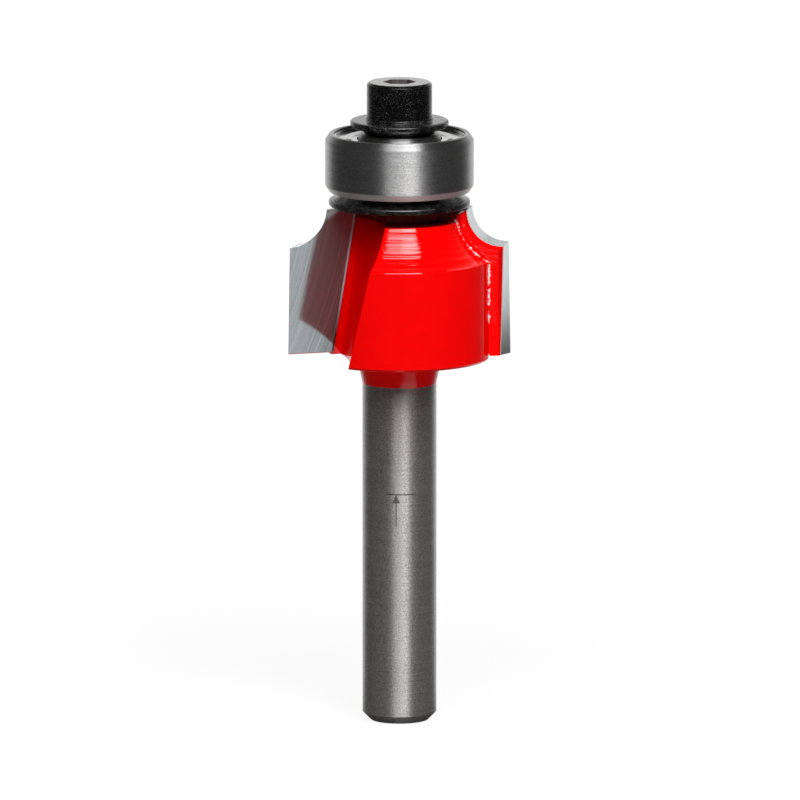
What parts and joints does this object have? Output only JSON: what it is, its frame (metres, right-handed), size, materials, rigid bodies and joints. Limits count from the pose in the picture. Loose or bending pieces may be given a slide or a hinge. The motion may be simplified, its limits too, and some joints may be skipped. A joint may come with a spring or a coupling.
{
  "type": "router bit",
  "caption": "Round-over router bit: straight shank, painted two-wing head with brazed carbide tips, and a shielded ball guide bearing held by a cap screw.",
  "frame": {"origin": "middle of the shank's flat end face", "axes": "+Z along the shank to the bearing and screw; blade 1 at -X with its cutting face towards -Y"},
  "size_m": [0.019, 0.0158, 0.0553],
  "materials": {
    "red_paint_steel": "gloss red paint on the head, bare ground steel on the shank",
    "ground_carbide": "ground, with fine curved grinding lines",
    "braze": "thin braze line",
    "ground_bearing_steel": "satin ground",
    "pressed_shield_steel": "smooth pressed sheet",
    "spring_wire": "drawn wire",
    "cage_steel": "pressed ribbon",
    "polished_ball_steel": "polished",
    "black_oxide": "black oxide, slightly oily"
  },
  "bodies": {
    "arbor": {"cutter_body": "red_paint_steel", "carbide_tip_1": "ground_carbide", "carbide_tip_2": "ground_carbide", "braze_seam_1": "braze", "braze_seam_2": "braze", "bearing_inner_ring": "ground_bearing_steel", "shield_washer": "black_oxide", "retaining_washer": "black_oxide", "cap_screw": "black_oxide"},
    "guide_ring": {"bearing_outer_ring": "ground_bearing_steel", "bearing_shield_upper": "pressed_shield_steel", "bearing_shield_lower": "pressed_shield_steel", "snap_wire_upper": "spring_wire", "snap_wire_lower": "spring_wire"},
    "ball_cage": {"cage_upper": "cage_steel", "cage_lower": "cage_steel"},
    "rolling_ball_1": {"ball_1": "polished_ball_steel"},
    "rolling_ball_2": {"ball_2": "polished_ball_steel"},
    "rolling_ball_3": {"ball_3": "polished_ball_steel"},
    "rolling_ball_4": {"ball_4": "polished_ball_steel"},
    "rolling_ball_5": {"ball_5": "polished_ball_steel"},
    "rolling_ball_6": {"ball_6": "polished_ball_steel"},
    "rolling_ball_7": {"ball_7": "polished_ball_steel"}
  },
  "joints": [
    {"name": "outer_ring_spin", "type": "hinge", "parent": "arbor", "child": "guide_ring", "pos_m": [0, 0, 0.04839], "axis": [0, 0, 1], "continuous": true},
    {"name": "cage_orbit", "type": "hinge", "parent": "arbor", "child": "ball_cage", "pos_m": [0, 0, 0.04839], "axis": [0, 0, 1], "continuous": true},
    {"name": "ball_1_roll", "type": "hinge", "parent": "ball_cage", "child": "rolling_ball_1", "pos_m": [0.00436, 0, 0.04839], "axis": [0, 0, 1], "continuous": true},
    {"name": "ball_2_roll", "type": "hinge", "parent": "ball_cage", "child": "rolling_ball_2", "pos_m": [0.00272, 0.00341, 0.04839], "axis": [0, 0, 1], "continuous": true},
    {"name": "ball_3_roll", "type": "hinge", "parent": "ball_cage", "child": "rolling_ball_3", "pos_m": [-0.00097, 0.00426, 0.04839], "axis": [0, 0, 1], "continuous": true},
    {"name": "ball_4_roll", "type": "hinge", "parent": "ball_cage", "child": "rolling_ball_4", "pos_m": [-0.00393, 0.00189, 0.04839], "axis": [0, 0, 1], "continuous": true},
    {"name": "ball_5_roll", "type": "hinge", "parent": "ball_cage", "child": "rolling_ball_5", "pos_m": [-0.00393, -0.00189, 0.04839], "axis": [0, 0, 1], "continuous": true},
    {"name": "ball_6_roll", "type": "hinge", "parent": "ball_cage", "child": "rolling_ball_6", "pos_m": [-0.00097, -0.00426, 0.04839], "axis": [0, 0, 1], "continuous": true},
    {"name": "ball_7_roll", "type": "hinge", "parent": "ball_cage", "child": "rolling_ball_7", "pos_m": [0.00272, -0.00341, 0.04839], "axis": [0, 0, 1], "continuous": true}
  ],
  "couplings": [
    {"joint": "cage_orbit", "follows": "outer_ring_spin", "ratio": 0.6364},
    {"joint": "ball_1_roll", "follows": "outer_ring_spin", "ratio": 1.6967},
    {"joint": "ball_2_roll", "follows": "outer_ring_spin", "ratio": 1.6967},
    {"joint": "ball_3_roll", "follows": "outer_ring_spin", "ratio": 1.6967},
    {"joint": "ball_4_roll", "follows": "outer_ring_spin", "ratio": 1.6967},
    {"joint": "ball_5_roll", "follows": "outer_ring_spin", "ratio": 1.6967},
    {"joint": "ball_6_roll", "follows": "outer_ring_spin", "ratio": 1.6967},
    {"joint": "ball_7_roll", "follows": "outer_ring_spin", "ratio": 1.6967}
  ]
}
